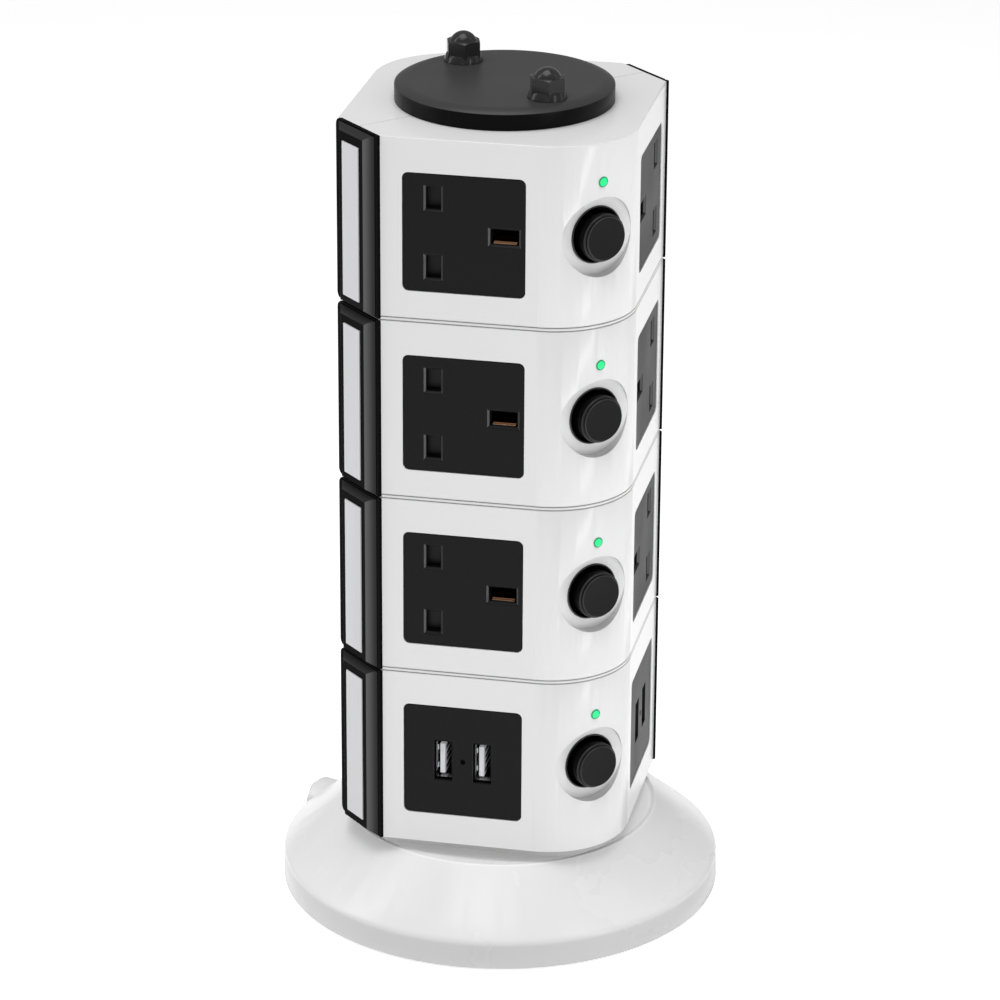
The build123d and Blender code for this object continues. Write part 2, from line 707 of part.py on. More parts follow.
with BuildPart() as end_cover_inserts:
    for tier in range(1, TIERS + 1):
        centre = tier_bottom(tier) + TIER_PITCH - INSERT_TOP - INSERT_HEIGHT / 2
        for sign in (-1, 1):
            with BuildSketch(facet_plane(sign, centre, COVER_RISE - INSERT_POCKET)):
                Rectangle(INSERT_WIDTH, INSERT_HEIGHT)
            extrude(amount=INSERT_POCKET + INSERT_PROUD)
finish(end_cover_inserts, "end_cover_inserts")


# ---------------------------------------------------------------- top plate, tie rods and nuts
rod_places = [tuple(CORNER * (ROD_REACH * sign))[:2] for sign in (-1, 1)]

with BuildPart() as top_plate:
    with BuildSketch(Plane.XZ):
        with BuildLine():
            Polyline(
                (0, TOWER_TOP + TOP_PLATE_CROWN),
                (0, TOWER_TOP),
                (TOP_PLATE_RADIUS, TOWER_TOP),
                (TOP_PLATE_RADIUS, TOWER_TOP + TOP_PLATE_EDGE),
            )
            Line((0, TOWER_TOP + TOP_PLATE_CROWN), (TOP_PLATE_FLAT, TOWER_TOP + TOP_PLATE_CROWN))
            TangentArc(
                (TOP_PLATE_FLAT, TOWER_TOP + TOP_PLATE_CROWN),
                (TOP_PLATE_RADIUS, TOWER_TOP + TOP_PLATE_EDGE),
                tangent=(1, 0),
            )
        make_face()
    revolve(axis=Axis.Z)
    rim = top_plate.edges().filter_by(GeomType.CIRCLE).group_by(SortBy.RADIUS)[-1].sort_by(Axis.Z)[-1]
    fillet(rim, TOP_PLATE_ROUND)
    with BuildSketch(Plane.XY.offset(TOWER_TOP)):
        with Locations(*rod_places):
            Circle(ROD_RADIUS + ROD_FREE)
    extrude(amount=TOP_PLATE_CROWN, mode=Mode.SUBTRACT)
finish(top_plate, "top_plate")

nut_seat = TOWER_TOP + TOP_PLATE_CROWN
rod_low = PLINTH_BOTTOM - LOCK_NUT[1]
rod_high = nut_seat + NUT_HEX_TOP

with BuildPart() as tie_rods:
    with BuildSketch(Plane.XY.offset(rod_low)):
        with Locations(*rod_places):
            Circle(ROD_RADIUS)
    extrude(amount=rod_high - rod_low)
finish(tie_rods, "tie_rods")


def dome_nut():
    """Flanged cap nut with a blind bore, standing on the XY plane."""
    shoulder = NUT_HEX_TOP
    with BuildPart() as nut:
        with BuildSketch():
            RegularPolygon(NUT_ACROSS_FLATS / 2, 6, major_radius=False, rotation=NUT_TURN)
        extrude(amount=shoulder)
        with BuildSketch(Plane.XZ):
            with BuildLine():
                flat_reach = NUT_ACROSS_FLATS / 2
                point_reach = NUT_ACROSS_FLATS / sqrt(3)
                drop = (point_reach - flat_reach) * tan(radians(30))
                Polyline(
                    (0, 0),
                    (point_reach, 0),
                    (point_reach, shoulder - drop),
                    (flat_reach, shoulder),
                    (0, shoulder),
                    close=True,
                )
            make_face()
        revolve(axis=Axis.Z, mode=Mode.INTERSECT)
        with BuildSketch():
            Circle(NUT_FLANGE_RADIUS)
        extrude(amount=NUT_FLANGE, taper=NUT_FLANGE_TAPER)
        with BuildSketch(Plane.XZ):
            with BuildLine():
                Polyline((0, NUT_HEIGHT), (0, shoulder), (NUT_DOME_RADIUS, shoulder))
                TangentArc((0, NUT_HEIGHT), (NUT_DOME_RADIUS, shoulder), tangent=(1, 0))
            make_face()
        revolve(axis=Axis.Z)
        with BuildSketch():
            Circle(ROD_RADIUS)
        extrude(amount=shoulder, mode=Mode.SUBTRACT)
    return nut


cap_nut = dome_nut()
with BuildPart() as dome_nuts:
    for x, y in rod_places:
        add(cap_nut.part.moved(Location((x, y, nut_seat))))
finish(dome_nuts, "dome_nuts")

with BuildPart() as lock_nuts:
    with BuildSketch(Plane.XY.offset(PLINTH_BOTTOM)):
        with Locations(*rod_places):
            RegularPolygon(LOCK_NUT[0] / 2, 6, major_radius=False)
            Circle(ROD_RADIUS, mode=Mode.SUBTRACT)
    extrude(amount=-LOCK_NUT[1])
finish(lock_nuts, "lock_nuts")


# ---------------------------------------------------------------- tower bottom, hub and spool
with BuildPart() as tower_bottom_plate:
    with BuildSketch(Plane.XY.offset(PLINTH_BOTTOM)):
        add(tower_plan.sketch)
        offset(amount=-PLINTH_INSET)
    extrude(amount=TOWER_BOTTOM - PLINTH_BOTTOM)
    with BuildSketch(Plane.XY.offset(TOWER_BOTTOM)):
        add(tower_plan.sketch)
        offset(amount=-WALL - PLATE_FIT)
        offset(amount=-WALL, mode=Mode.SUBTRACT)
    extrude(amount=SPIGOT)
    with BuildSketch(Plane.XY.offset(TOWER_BOTTOM + SPIGOT)):
        with Locations(*rod_places):
            Circle(SLEEVE_RADIUS + PLATE_FIT)
    extrude(amount=-SPIGOT, mode=Mode.SUBTRACT)
    with BuildSketch(Plane.XY.offset(PLINTH_BOTTOM)):
        Circle(HUB_BORE)
        with Locations(*rod_places):
            Circle(ROD_RADIUS + ROD_FREE)
    extrude(amount=TOWER_BOTTOM - PLINTH_BOTTOM, mode=Mode.SUBTRACT)
finish(tower_bottom_plate, "tower_bottom_plate")

with BuildPart() as turntable_hub:
    with BuildSketch(Plane.XY.offset(HUB_BOTTOM)):
        Circle(HUB_RADIUS)
    extrude(amount=WELL_FLOOR + GAP - HUB_BOTTOM)
    with BuildSketch(Plane.XY.offset(WELL_FLOOR + GAP)):
        Circle(HUB_SHOULDER)
    extrude(amount=PLINTH_BOTTOM - WELL_FLOOR - GAP)
    with BuildSketch(Plane.XY.offset(HUB_BOTTOM)):
        Circle(HUB_BORE)
    extrude(amount=PLINTH_BOTTOM - HUB_BOTTOM, mode=Mode.SUBTRACT)
finish(turntable_hub, "turntable_hub")

with BuildPart() as cord_spool:
    with BuildSketch(Plane.XY.offset(HUB_BOTTOM)):
        Circle(DRUM_RADIUS)
    extrude(amount=SPOOL_TOP - HUB_BOTTOM)
    with BuildSketch(Plane.XY.offset(HUB_BOTTOM)):
        Circle(SPOOL_RADIUS)
    extrude(amount=SPOOL_FLANGE)
    with BuildSketch(Plane.XY.offset(SPOOL_TOP)):
        Circle(SPOOL_RADIUS)
    extrude(amount=-SPOOL_FLANGE)
    with BuildSketch(Plane.XY.offset(HUB_BOTTOM)):
        Circle(HUB_RADIUS)
    extrude(amount=SPOOL_TOP - HUB_BOTTOM, mode=Mode.SUBTRACT)
finish(cord_spool, "cord_spool")


# ---------------------------------------------------------------- base
outlet_direction = Vector(cos(radians(OUTLET_ANGLE)), sin(radians(OUTLET_ANGLE)), 0)
outlet_side = Vector(-sin(radians(OUTLET_ANGLE)), cos(radians(OUTLET_ANGLE)), 0)


def outlet_plane(reach, height):
    """Plane square to the cord outlet, x level and y up."""
    centre = outlet_direction * reach + Vector(0, 0, height)
    return Plane(origin=centre, x_dir=outlet_side, z_dir=outlet_direction)


def quarter_places(reach, start):
    """Four points on a circle, from an angle in degrees."""
    turns = [radians(start + 90 * step) for step in range(4)]
    return [(reach * cos(turn), reach * sin(turn)) for turn in turns]


slope = (LIP_HEIGHT - RIM_HEIGHT) / (RIM_TOP_RADIUS - LIP_RADIUS)
wall_drop = BASE_WALL * hypot(1, slope)
rim_inner = BASE_RADIUS - BASE_WALL
bowl_under = BOWL_FLOOR - BASE_WALL
well_under = WELL_FLOOR - BASE_WALL
cone_meets_bowl = RIM_TOP_RADIUS - (bowl_under + wall_drop - RIM_HEIGHT) / slope
cone_meets_rim = RIM_HEIGHT - wall_drop + slope * (RIM_TOP_RADIUS - rim_inner)
screw_places = quarter_places(SCREW_REACH, 30)
foot_places = quarter_places(FOOT_REACH, 0)

with BuildPart() as base_cover:
    with BuildSketch(Plane.XZ):
        with BuildLine():
            TangentArc(
                (BOWL_RADIUS, BOWL_FLOOR), (LIP_RADIUS - LIP_WIDTH, LIP_HEIGHT), tangent=(1, 0)
            )
            Polyline(
                (LIP_RADIUS - LIP_WIDTH, LIP_HEIGHT),
                (LIP_RADIUS, LIP_HEIGHT),
                (RIM_TOP_RADIUS, RIM_HEIGHT),
                (BASE_RADIUS, BASE_CLEAR),
                (rim_inner, BASE_CLEAR),
                (rim_inner, cone_meets_rim),
                (cone_meets_bowl, bowl_under),
                (WELL_RADIUS + BASE_WALL, bowl_under),
                (WELL_RADIUS + BASE_WALL, well_under),
                (COLLAR_RADIUS, well_under),
                (COLLAR_RADIUS, COLLAR_BOTTOM),
                (HUB_RADIUS + RUNNING, COLLAR_BOTTOM),
                (HUB_RADIUS + RUNNING, WELL_FLOOR),
                (WELL_RADIUS, WELL_FLOOR),
                (WELL_RADIUS, BOWL_FLOOR),
                (BOWL_RADIUS, BOWL_FLOOR),
            )
        make_face()
    revolve(axis=Axis.Z)
    rings = base_cover.edges().filter_by(GeomType.CIRCLE)
    lips = rings.filter_by(lambda ring: abs(ring.center().Z - LIP_HEIGHT) < RUNNING)
    fillet(lips, LIP_EDGE)
    rings = base_cover.edges().filter_by(GeomType.CIRCLE)
    fillet(rings.filter_by(lambda ring: abs(ring.center().Z - RIM_HEIGHT) < RUNNING), RIM_EDGE)
    with BuildSketch(outlet_plane(HOOD_START, 0)):
        with Locations((0, HOOD_AXIS)):
            Circle(HOOD_RADIUS)
        with Locations((0, (BASE_CLEAR + HOOD_AXIS) / 2)):
            Rectangle(2 * HOOD_RADIUS, HOOD_AXIS - BASE_CLEAR)
        with Locations((0, BASE_CLEAR - HOOD_RADIUS)):
            Rectangle(3 * HOOD_RADIUS, 2 * HOOD_RADIUS, mode=Mode.SUBTRACT)
    extrude(amount=HOOD_REACH - HOOD_START)
    mouth = base_cover.faces().filter_by(Plane(origin=(0, 0, 0), z_dir=outlet_direction))
    mouth_edges = mouth.sort_by(Axis((0, 0, 0), outlet_direction))[-1].edges()
    fillet(mouth_edges.filter_by(lambda edge: edge.center().Z > BASE_CLEAR + RUNNING), HOOD_EDGE)
    with BuildSketch(outlet_plane(HOOD_START, BUSH_AXIS)):
        Circle(BUSH_RADIUS)
    extrude(amount=HOOD_REACH - HOOD_START, mode=Mode.SUBTRACT)
    with BuildSketch(Plane.XY.offset(BOTTOM_PLATE[1])):
        with Locations(*screw_places):
            Circle(SCREW_BOSS)
    extrude(amount=SCREW_TOP + BASE_WALL - BOTTOM_PLATE[1])
    with BuildSketch(Plane.XY.offset(BOTTOM_PLATE[1])):
        with Locations(*screw_places):
            Circle(SCREW_RADIUS)
    extrude(amount=SCREW_TOP - BOTTOM_PLATE[1], mode=Mode.SUBTRACT)
finish(base_cover, "base_cover")

with BuildPart() as cord_outlet_bush:
    with BuildSketch(outlet_plane(BUSH_START, BUSH_AXIS)):
        Circle(BUSH_RADIUS)
        Circle(BUSH_BORE, mode=Mode.SUBTRACT)
    extrude(amount=HOOD_REACH - BUSH_START)
finish(cord_outlet_bush, "cord_outlet_bush")

with BuildPart() as base_bottom_plate:
    with BuildSketch(Plane.XY.offset(BOTTOM_PLATE[0])):
        Circle(BOTTOM_PLATE_RADIUS)
    extrude(amount=BOTTOM_PLATE[1] - BOTTOM_PLATE[0])
    with BuildSketch(Plane.XY.offset(BOTTOM_PLATE[0])):
        with Locations(*screw_places):
            Circle(SCREW_RADIUS)
    extrude(amount=BOTTOM_PLATE[1] - BOTTOM_PLATE[0], mode=Mode.SUBTRACT)
    with BuildSketch(Plane.XY.offset(BOTTOM_PLATE[0])):
        with Locations(*screw_places):
            Circle(SCREW_HEAD[0])
    extrude(amount=SCREW_HEAD[1], mode=Mode.SUBTRACT)
    with BuildSketch(outlet_plane(HOOD_START - PLATE_FIT, BOTTOM_PLATE[1])):
        Rectangle(2 * (HOOD_RADIUS + PLATE_FIT), 2 * BOTTOM_PLATE[1])
    extrude(amount=HOOD_REACH - HOOD_START, mode=Mode.SUBTRACT)
finish(base_bottom_plate, "base_bottom_plate")

with BuildPart() as base_screws:
    with BuildSketch(Plane.XY.offset(BOTTOM_PLATE[0])):
        with Locations(*screw_places):
            Circle(SCREW_HEAD[0])
    extrude(amount=SCREW_HEAD[1])
    with BuildSketch(Plane.XY.offset(BOTTOM_PLATE[0] + SCREW_HEAD[1])):
        with Locations(*screw_places):
            Circle(SCREW_RADIUS)
    extrude(amount=SCREW_TOP - BOTTOM_PLATE[0] - SCREW_HEAD[1])
finish(base_screws, "base_screws")

with BuildPart() as rubber_feet:
    with BuildSketch():
        with Locations(*foot_places):
            Circle(FOOT_RADIUS)
    extrude(amount=BOTTOM_PLATE[0])
finish(rubber_feet, "rubber_feet")
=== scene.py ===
import json
from math import cos, pi, radians, sin, tan

import bmesh
import bpy
from mathutils import Matrix, Vector


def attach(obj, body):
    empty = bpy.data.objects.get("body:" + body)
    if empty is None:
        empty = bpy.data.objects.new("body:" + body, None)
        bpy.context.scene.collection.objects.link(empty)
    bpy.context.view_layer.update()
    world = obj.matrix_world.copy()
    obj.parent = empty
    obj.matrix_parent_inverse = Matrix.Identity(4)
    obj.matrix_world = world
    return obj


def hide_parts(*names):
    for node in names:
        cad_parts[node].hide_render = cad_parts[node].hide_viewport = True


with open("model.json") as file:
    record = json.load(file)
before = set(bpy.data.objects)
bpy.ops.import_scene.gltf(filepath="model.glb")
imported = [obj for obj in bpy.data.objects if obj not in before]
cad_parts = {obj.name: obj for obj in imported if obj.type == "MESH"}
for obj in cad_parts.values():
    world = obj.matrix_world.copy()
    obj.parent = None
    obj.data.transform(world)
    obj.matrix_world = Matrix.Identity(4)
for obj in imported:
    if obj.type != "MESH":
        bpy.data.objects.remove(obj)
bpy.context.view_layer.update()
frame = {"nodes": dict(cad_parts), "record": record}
nodes = frame["nodes"]
scene = bpy.context.scene

MM = 0.001
UP = Vector((0, 0, 1))
CORNER = Vector((1, -1, 0)).normalized()     # from the tower axis to the button corner
ACROSS = Vector((1, 1, 0)).normalized()      # to the right of it, seen from outside

# ---------------------------------------------------------------- the CAD model's dimensions, in metres
TIERS = 4
TOWER_BOTTOM = 31.2 * MM
TIER_PITCH = 59.3 * MM
BAND = 1.1 * MM              # from each joint between tiers up to the groove above it
HALF_WIDTH = 46.2 * MM
FACE_CENTRES = [TOWER_BOTTOM + 29.2 * MM + TIER_PITCH * tier for tier in range(TIERS)]
PLATE_SHIFT = 3.15 * MM
USB_PITCH = 12.7 * MM
CORNER_REACH = 54.443 * MM   # tower axis to the button corner
LENS_RISE = 17.7 * MM        # lens above the button's centre
RIM_HEIGHT = 9.9 * MM
LIP_HEIGHT = 27.2 * MM
BOWL_RADIUS = 50.4 * MM      # of the inner edge of the lip
WELL_FLOOR = 22.5 * MM

# ---------------------------------------------------------------- camera
CAMERA_AT = Vector((0.2602, -1.2830, 0.6690))
YAW, PITCH, ROLL = radians(-11.65), radians(-21.735), radians(0.265)
LENS, SENSOR = 157.5, 36.0
SHIFT = (0.0106, -0.0406)

forward = Vector((sin(YAW) * cos(PITCH), cos(YAW) * cos(PITCH), sin(PITCH)))
level_right = forward.cross(UP).normalized()
level_up = level_right.cross(forward)
camera_x = level_right * cos(ROLL) + level_up * sin(ROLL)
camera_y = level_up * cos(ROLL) - level_right * sin(ROLL)

camera_data = bpy.data.cameras.new("camera")
camera_data.lens = LENS
camera_data.sensor_width = SENSOR
camera_data.shift_x, camera_data.shift_y = SHIFT
camera_data.clip_end = 30
camera = bpy.data.objects.new("camera", camera_data)
camera_axes = Matrix((camera_x, camera_y, -forward)).transposed().to_4x4()
camera.matrix_world = Matrix.Translation(CAMERA_AT) @ camera_axes
scene.collection.objects.link(camera)
scene.camera = camera

# ---------------------------------------------------------------- studio
scene.view_settings.view_transform = "Standard"
scene.view_settings.look = "None"


def softbox(name, at, target, size, watts):
    """Rectangular area light that looks at a point."""
    data = bpy.data.lights.new(name, "AREA")
    data.shape = "RECTANGLE"
    data.size, data.size_y = size
    data.energy = watts
    lamp = bpy.data.objects.new(name, data)
    lamp.location = at
    lamp.rotation_euler = (Vector(target) - Vector(at)).to_track_quat("-Z", "Y").to_euler()
    scene.collection.objects.link(lamp)


world = bpy.data.worlds.new("studio")
world.use_nodes = True
background = world.node_tree.nodes["Background"]
background.inputs["Color"].default_value = (1, 1, 1, 1)
background.inputs["Strength"].default_value = 0.31
scene.world = world

# The strips light the two sides, the corner box draws the narrow band of light down the button corner, the
# top box lights roof and base, and the front box fills the gap under the tower.
TOWER_MIDDLE = (0, 0, 0.15)
softbox("strip_left", (-0.62, -0.15, 0.46), TOWER_MIDDLE, (0.16, 0.9), 1.35)
softbox("strip_right", (0.62, 0.17, 0.46), TOWER_MIDDLE, (0.16, 0.9), 0.3)
softbox("softbox_corner", (0.28, -0.175, 0.24), (0, 0, 0.24), (0.04, 0.48), 0.27)
softbox("softbox_top", (-0.1, -0.1, 1.5), TOWER_MIDDLE, (1.0, 1.0), 12.0)
softbox("softbox_front", (0.24, -1.10, 0.50), TOWER_MIDDLE, (0.5, 0.5), 0.3)


# ---------------------------------------------------------------- materials
class Shader:
    """A Principled material with helpers for procedural inputs."""

    def __init__(self, name):
        self.material = bpy.data.materials.new(name)
        self.material.use_nodes = True
        self.tree = self.material.node_tree
        self.bsdf = self.tree.nodes["Principled BSDF"]
        places = self.node("ShaderNodeTexCoord")
        self.coordinates, self.facing = places.outputs["Object"], places.outputs["Normal"]

    def node(self, kind, **settings):
        made = self.tree.nodes.new(kind)
        for key, value in settings.items():
            setattr(made, key, value)
        return made

    def link(self, source, target):
        self.tree.links.new(source, target)

    def set(self, **values):
        for key, value in values.items():
            self.bsdf.inputs[key.replace("_", " ")].default_value = value

    def noise(self, scale, detail=3.0, stretch=(1, 1, 1)):
        mapping = self.node("ShaderNodeMapping")
        mapping.inputs["Scale"].default_value = stretch
        self.link(self.coordinates, mapping.inputs["Vector"])
        noise = self.node("ShaderNodeTexNoise")
        noise.inputs["Scale"].default_value = scale
        noise.inputs["Detail"].default_value = detail
        self.link(mapping.outputs["Vector"], noise.inputs["Vector"])
        return noise.outputs["Fac"]

    def spread(self, value, low, high, source=(0.3, 0.7)):
        """Map a texture value to a range."""
        ranged = self.node("ShaderNodeMapRange", interpolation_type="SMOOTHSTEP")
        for key, number in zip(("From Min", "From Max", "To Min", "To Max"), (*source, low, high)):
            ranged.inputs[key].default_value = number
        self.link(value, ranged.inputs["Value"])
        return ranged.outputs["Result"]

    def blend(self, factor, first, second):
        """Mix two colours, each an RGB tuple or a socket."""
        mix = self.node("ShaderNodeMix", data_type="RGBA")
        self.link(factor, mix.inputs[0])
        for socket, colour in ((mix.inputs[6], first), (mix.inputs[7], second)):
            if isinstance(colour, tuple):
                socket.default_value = (*colour, 1)
            else:
                self.link(colour, socket)
        return mix.outputs[2]

    def dot(self, source, direction):
        """Size of a vector's part along a direction."""
        product = self.node("ShaderNodeVectorMath", operation="DOT_PRODUCT")
        product.inputs[1].default_value = direction
        self.link(source, product.inputs[0])
        size = self.node("ShaderNodeMath", operation="ABSOLUTE")
        self.link(product.outputs["Value"], size.inputs[0])
        return size.outputs[0]

    def combine(self, operation, first, second):
        """Arithmetic on two sockets."""
        result = self.node("ShaderNodeMath", operation=operation)
        self.link(first, result.inputs[0])
        self.link(second, result.inputs[1])
        return result.outputs[0]

    def both(self, first, second):
        """Overlap of two masks."""
        return self.combine("MULTIPLY", first, second)

    def larger(self, first, second):
        return self.combine("MAXIMUM", first, second)

    def along_faces(self, source):
        """The larger of a vector's parts along the tower's two face directions."""
        return self.larger(self.dot(source, (1, 0, 0)), self.dot(source, (0, 1, 0)))

    def gloss(self, mask, low, high, source=(0, 1)):
        """Specular level between two values, by a mask."""
        self.link(self.spread(mask, low, high, source), self.bsdf.inputs["Specular IOR Level"])

    def bump(self, height, strength, distance):
        bump = self.node("ShaderNodeBump")
        bump.inputs["Strength"].default_value = strength
        bump.inputs["Distance"].default_value = distance
        self.link(height, bump.inputs["Height"])
        self.link(bump.outputs["Normal"], self.bsdf.inputs["Normal"])


def tint(colour, factor):
    return tuple(min(1.0, channel * factor) for channel in colour)


def plastic(name, colour, roughness, level, grain=1800, grain_depth=0.12, mottle=0.05, painted_shading=None):
    """Moulded plastic: faint flow mottling, fine spark-eroded grain and uneven gloss."""
    shader = Shader(name)
    cloud = shader.noise(26, 4)
    fine = shader.noise(grain, 2)
    base = shader.blend(cloud, tint(colour, 1 - mottle), tint(colour, 1 + mottle))
    speck = shader.spread(fine, 0, 0.35, (0.55, 0.75))
    base = shader.blend(speck, base, tint(colour, 1 + 3 * mottle))
    if painted_shading:
        base = painted_shading(shader, base)
    shader.link(base, shader.bsdf.inputs["Base Color"])
    shader.link(shader.spread(cloud, roughness * 0.88, roughness * 1.12), shader.bsdf.inputs["Roughness"])
    shader.set(Specular_IOR_Level=level)
    shader.bump(fine, grain_depth, 0.00012)
    return shader.material


def metal(name, colour, roughness, stretch=(1, 1, 1), scale=900, streak=0.15, painted_shading=None):
    """Metal with rolling or plating streaks."""
    shader = Shader(name)
    streaks = shader.noise(scale, 4, stretch)
    cloud = shader.noise(60, 3)
    base = shader.blend(streaks, tint(colour, 1 - streak), tint(colour, 1 + streak))
    if painted_shading:
        base = painted_shading(shader, base)
    shader.link(base, shader.bsdf.inputs["Base Color"])
    shader.link(shader.spread(cloud, roughness * 0.8, roughness * 1.25), shader.bsdf.inputs["Roughness"])
    shader.set(Metallic=1.0)
    shader.bump(streaks, 0.08, 0.00005)
    return shader.material


# A painted shading takes a material's base colour and returns it with the painted light and shade that one
# kind of piece gets. A mask is 1 where its painted shading applies. Facing values are cosines, from 0 for
# edge-on to 1 for square-on.
COVER_CROWN_REACH, COVER_FOOT_REACH = 6.8 * MM, 10.3 * MM     # flank of an end cover, from its middle line
CONTACT_MOUTH = 3.4 * MM                                      # depth below the face where contacts turn dark
SHELL_LIP, SHELL_THROAT = 1.5 * MM, 4.1 * MM                  # depths between which a USB shell is bright


def painted_sheen_on_slopes(shader, base):
    """End cover: the sloped faces get a painted sheen, a grey that is lightest beside the crown."""
    across = shader.dot(shader.facing, ACROSS)
    sloped = shader.both(
        shader.spread(across, 1, 0, (0.93, 0.985)),
        shader.spread(across, 0, 1, (0.1, 0.3)),
    )
    reach = shader.spread(shader.dot(shader.coordinates, CORNER), 0, 1, (COVER_CROWN_REACH, COVER_FOOT_REACH))
    flank = shader.blend(reach, (0.118, 0.118, 0.119), (0.032, 0.032, 0.033))
    level = shader.spread(shader.dot(shader.facing, UP), 0, 1, (0.1, 0.6))
    return shader.blend(sloped, base, shader.blend(level, flank, (0.034, 0.034, 0.035)))


def matt_and_painted_dark_side(shader, base):
    """Top plate: the upright side has painted shade, near black, and a lower specular level, so it is dull.
    """
    level = shader.spread(shader.dot(shader.facing, UP), 0, 1, (0.25, 0.6))
    shader.gloss(level, 0.09, 0.2)
    return shader.blend(level, (0.001, 0.001, 0.001), base)


def glossy_chamfers_painted_sheen(shader, base):
    """Socket plate: the sloped lead-ins of the slots get a painted sheen, a slightly lighter grey, and the
    upright ones a higher specular level so they catch the light.
    """
    level = shader.dot(shader.facing, UP)
    squarest = shader.larger(shader.along_faces(shader.facing), level)
    sloped = shader.spread(squarest, 1, 0, (0.75, 0.9))
    upright = shader.both(sloped, shader.spread(level, 1, 0, (0.2, 0.5)))
    shader.gloss(upright, 0.1, 0.9)
    return shader.blend(sloped, base, (0.012, 0.012, 0.0122))


def painted_seam_shade(shader, base):
    """Casing: painted shade darkens the edges of each joint between tiers, and of the groove above it."""
    height = shader.dot(shader.coordinates, UP)
    lines = []
    for rise in (0, BAND):
        above = shader.node("ShaderNodeMath", operation="SUBTRACT")
        above.inputs[1].default_value = TOWER_BOTTOM + rise
        shader.link(height, above.inputs[0])
        distance = shader.node("ShaderNodeMath", operation="PINGPONG")
        distance.inputs[1].default_value = TIER_PITCH / 2
        shader.link(above.outputs[0], distance.inputs[0])
        lines.append(shader.spread(distance.outputs[0], 1, 0, (0.3 * MM, 0.5 * MM)))
    between_tiers = shader.both(
        shader.spread(height, 0, 1, (FACE_CENTRES[0], FACE_CENTRES[0] + MM)),
        shader.spread(height, 1, 0, (FACE_CENTRES[-1], FACE_CENTRES[-1] + MM)),
    )
    return shader.blend(shader.both(shader.larger(*lines), between_tiers), base, (0.63, 0.63, 0.63))


def painted_shade_inside(shader, base):
    """Contacts: painted shade, bright at the mouth of a slot and dark brown farther in."""
    edge = HALF_WIDTH - CONTACT_MOUTH
    mouth = shader.spread(shader.along_faces(shader.coordinates), 0, 1, (edge - 0.6 * MM, edge + 0.6 * MM))
    return shader.blend(mouth, (0.035, 0.02, 0.012), base)


def painted_shade_rim_and_throat(shader, base):
    """USB shell: painted shade darkens the front edge and the deep inside, and the lead-in keeps its bright
    metal colour.
    """
    reach = shader.along_faces(shader.coordinates)
    lip, throat = HALF_WIDTH - SHELL_LIP, HALF_WIDTH - SHELL_THROAT
    lit = shader.both(
        shader.spread(reach, 0, 1, (throat - 0.5 * MM, throat + 0.5 * MM)),
        shader.spread(reach, 1, 0, (lip - 0.1 * MM, lip + 0.1 * MM)),
    )
    return shader.blend(lit, (0.012, 0.012, 0.012), base)


def painted_barrel_shade_and_highlight(shader, base):
    """Push button: painted shade makes the barrel black, and a painted highlight draws a lighter line where
    it rounds over to the face.
    """
    outward = shader.dot(shader.facing, CORNER)
    edge = shader.both(
        shader.spread(outward, 0, 1, (0.15, 0.5)),
        shader.spread(outward, 1, 0, (0.9, 0.985)),
    )
    shader.gloss(outward, 0.03, 0.12, (0.1, 0.6))
    face = shader.blend(shader.spread(outward, 0, 1, (0.05, 0.4)), (0.0015, 0.0015, 0.0015), base)
    return shader.blend(edge, face, (0.04, 0.04, 0.041))


def painted_base_light_and_shade(shader, base):
    """Base: painted shade makes the rim a little darker than the cone, a painted highlight makes the lip
    lightest, and the bowl glows with a little emission as painted light.
    """
    height = shader.dot(shader.coordinates, UP)
    foot = shader.spread(height, 0, 1, (RIM_HEIGHT - 1.9 * MM, RIM_HEIGHT + 1.1 * MM))
    lip = shader.spread(height, 0, 1, (LIP_HEIGHT - 0.5 * MM, LIP_HEIGHT - 0.1 * MM))
    flat = shader.node("ShaderNodeVectorMath", operation="MULTIPLY")
    flat.inputs[1].default_value = (1, 1, 0)
    shader.link(shader.coordinates, flat.inputs[0])
    radius = shader.node("ShaderNodeVectorMath", operation="LENGTH")
    shader.link(flat.outputs["Vector"], radius.inputs[0])
    bowl = shader.both(
        shader.spread(radius.outputs["Value"], 1, 0, (BOWL_RADIUS - 1.2 * MM, BOWL_RADIUS)),
        shader.spread(height, 0, 1, (WELL_FLOOR - 1.5 * MM, WELL_FLOOR - 0.5 * MM)),
    )
    shader.link(shader.spread(bowl, 0, 0.2, (0, 1)), shader.bsdf.inputs["Emission Strength"])
    return shader.blend(lip, shader.blend(foot, (0.57, 0.57, 0.57), base), (0.95, 0.95, 0.95))


BLACK = (0.0088, 0.0088, 0.0092)

